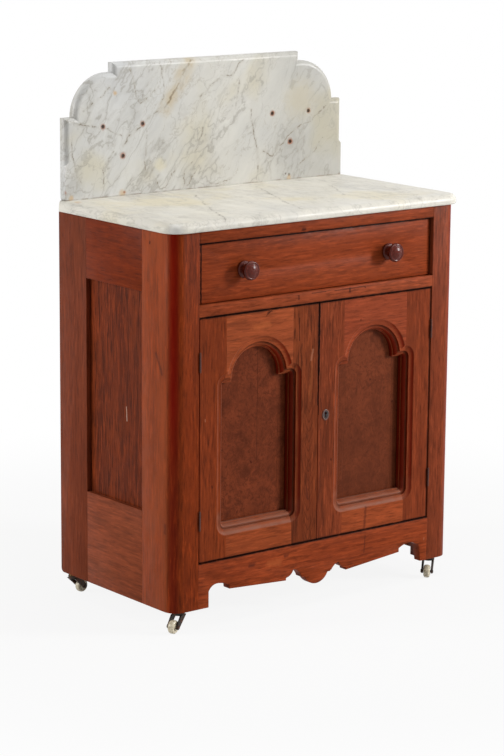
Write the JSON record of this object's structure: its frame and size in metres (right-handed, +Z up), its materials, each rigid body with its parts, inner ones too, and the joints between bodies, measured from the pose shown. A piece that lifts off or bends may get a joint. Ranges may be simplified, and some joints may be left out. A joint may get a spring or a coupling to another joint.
{
  "type": "marble-top washstand",
  "caption": "Washstand cupboard on casters with a drawer, arched panel doors, a marble top and a shaped marble backsplash.",
  "frame": {"origin": "on the floor, under the middle of the bounding box", "axes": "+Z up, +X to the right along the front, +Y from the front to the back"},
  "size_m": [0.736, 0.402, 1.0685],
  "materials": {
    "walnut": "satin",
    "side_panel_walnut": "satin",
    "burl_veneer": "satin",
    "knob_walnut": "satin",
    "pine": "matt",
    "marble": "satin",
    "ceramic": "satin",
    "iron": "matt",
    "cast_iron": "matt",
    "brass": "satin"
  },
  "bodies": {
    "case": {"marble_top": "marble", "backsplash": "marble", "backsplash_pins": "iron", "front_post_left": "walnut", "front_post_right": "walnut", "rear_stile_left": "walnut", "rear_stile_right": "walnut", "side_top_rail_left": "walnut", "side_top_rail_right": "walnut", "side_bottom_rail_left": "walnut", "side_bottom_rail_right": "walnut", "side_panel_left": "side_panel_walnut", "side_panel_right": "side_panel_walnut", "front_top_rail": "walnut", "divider_rail": "walnut", "apron": "walnut", "back_boards": "pine", "cupboard_floor": "pine", "floor_cleats": "pine", "drawer_runners": "pine", "drawer_guides": "pine", "drawer_kickers": "pine", "hinge_frame_leaves": "iron", "hinge_pins": "iron", "caster_sockets": "brass"},
    "drawer": {"drawer_front": "walnut", "drawer_side_left": "pine", "drawer_side_right": "pine", "drawer_back": "pine", "drawer_bottom": "pine", "knob_left": "knob_walnut", "knob_right": "knob_walnut"},
    "left_door": {"left_outer_stile": "walnut", "left_inner_stile": "walnut", "left_top_rail": "walnut", "left_bottom_rail": "walnut", "left_panel": "burl_veneer", "left_door_leaves": "iron", "bolt_barrel": "iron"},
    "right_door": {"right_outer_stile": "walnut", "right_inner_stile": "walnut", "right_top_rail": "walnut", "right_bottom_rail": "walnut", "right_panel": "burl_veneer", "right_door_leaves": "iron", "lock_case": "iron", "escutcheon": "iron"},
    "right_door_lock_bolt": {"lock_bolt": "brass"},
    "left_door_bolt_rod": {"bolt_rod": "iron"},
    "caster_front_left": {"caster_fork_front_left": "cast_iron"},
    "wheel_front_left": {"caster_wheel_front_left": "ceramic"},
    "caster_front_right": {"caster_fork_front_right": "cast_iron"},
    "wheel_front_right": {"caster_wheel_front_right": "ceramic"},
    "caster_rear_left": {"caster_fork_rear_left": "cast_iron"},
    "wheel_rear_left": {"caster_wheel_rear_left": "ceramic"},
    "caster_rear_right": {"caster_fork_rear_right": "cast_iron"},
    "wheel_rear_right": {"caster_wheel_rear_right": "ceramic"}
  },
  "joints": [
    {"name": "drawer_slide", "type": "slide", "parent": "case", "child": "drawer", "axis": [0, -1, 0], "range_m": [0, 0.29]},
    {"name": "left_door_hinge", "type": "hinge", "parent": "case", "child": "left_door", "pos_m": [-0.2946, -0.1809, 0.37475], "axis": [0, 0, -1], "range_deg": [0, 170]},
    {"name": "right_door_hinge", "type": "hinge", "parent": "case", "child": "right_door", "pos_m": [0.2946, -0.1809, 0.37475], "axis": [0, 0, 1], "range_deg": [0, 170]},
    {"name": "lock_bolt_slide", "type": "slide", "parent": "right_door", "child": "right_door_lock_bolt", "axis": [-1, 0, 0], "range_m": [0, 0.008]},
    {"name": "door_bolt_slide", "type": "slide", "parent": "left_door", "child": "left_door_bolt_rod", "axis": [0, 0, 1], "range_m": [0, 0.01]},
    {"name": "swivel_front_left", "type": "hinge", "parent": "case", "child": "caster_front_left", "pos_m": [-0.3265, -0.1565, 0.037], "axis": [0, 0, 1], "continuous": true},
    {"name": "roll_front_left", "type": "hinge", "parent": "caster_front_left", "child": "wheel_front_left", "pos_m": [-0.34583, -0.1647, 0.0135], "axis": [0.3907, -0.9205, 0], "continuous": true},
    {"name": "swivel_front_right", "type": "hinge", "parent": "case", "child": "caster_front_right", "pos_m": [0.3225, -0.1565, 0.037], "axis": [0, 0, 1], "continuous": true},
    {"name": "roll_front_right", "type": "hinge", "parent": "caster_front_right", "child": "wheel_front_right", "pos_m": [0.30665, -0.17028, 0.0135], "axis": [0.6561, -0.7547, 0], "continuous": true},
    {"name": "swivel_rear_left", "type": "hinge", "parent": "case", "child": "caster_rear_left", "pos_m": [-0.347, 0.171, 0.037], "axis": [0, 0, 1], "continuous": true},
    {"name": "roll_rear_left", "type": "hinge", "parent": "caster_rear_left", "child": "wheel_rear_left", "pos_m": [-0.32646, 0.17537, 0.0135], "axis": [-0.2079, 0.9781, 0], "continuous": true},
    {"name": "swivel_rear_right", "type": "hinge", "parent": "case", "child": "caster_rear_right", "pos_m": [0.347, 0.171, 0.037], "axis": [0, 0, 1], "continuous": true},
    {"name": "roll_rear_right", "type": "hinge", "parent": "caster_rear_right", "child": "wheel_rear_right", "pos_m": [0.32881, 0.1815, 0.0135], "axis": [-0.5, -0.866, 0], "continuous": true}
  ]
}
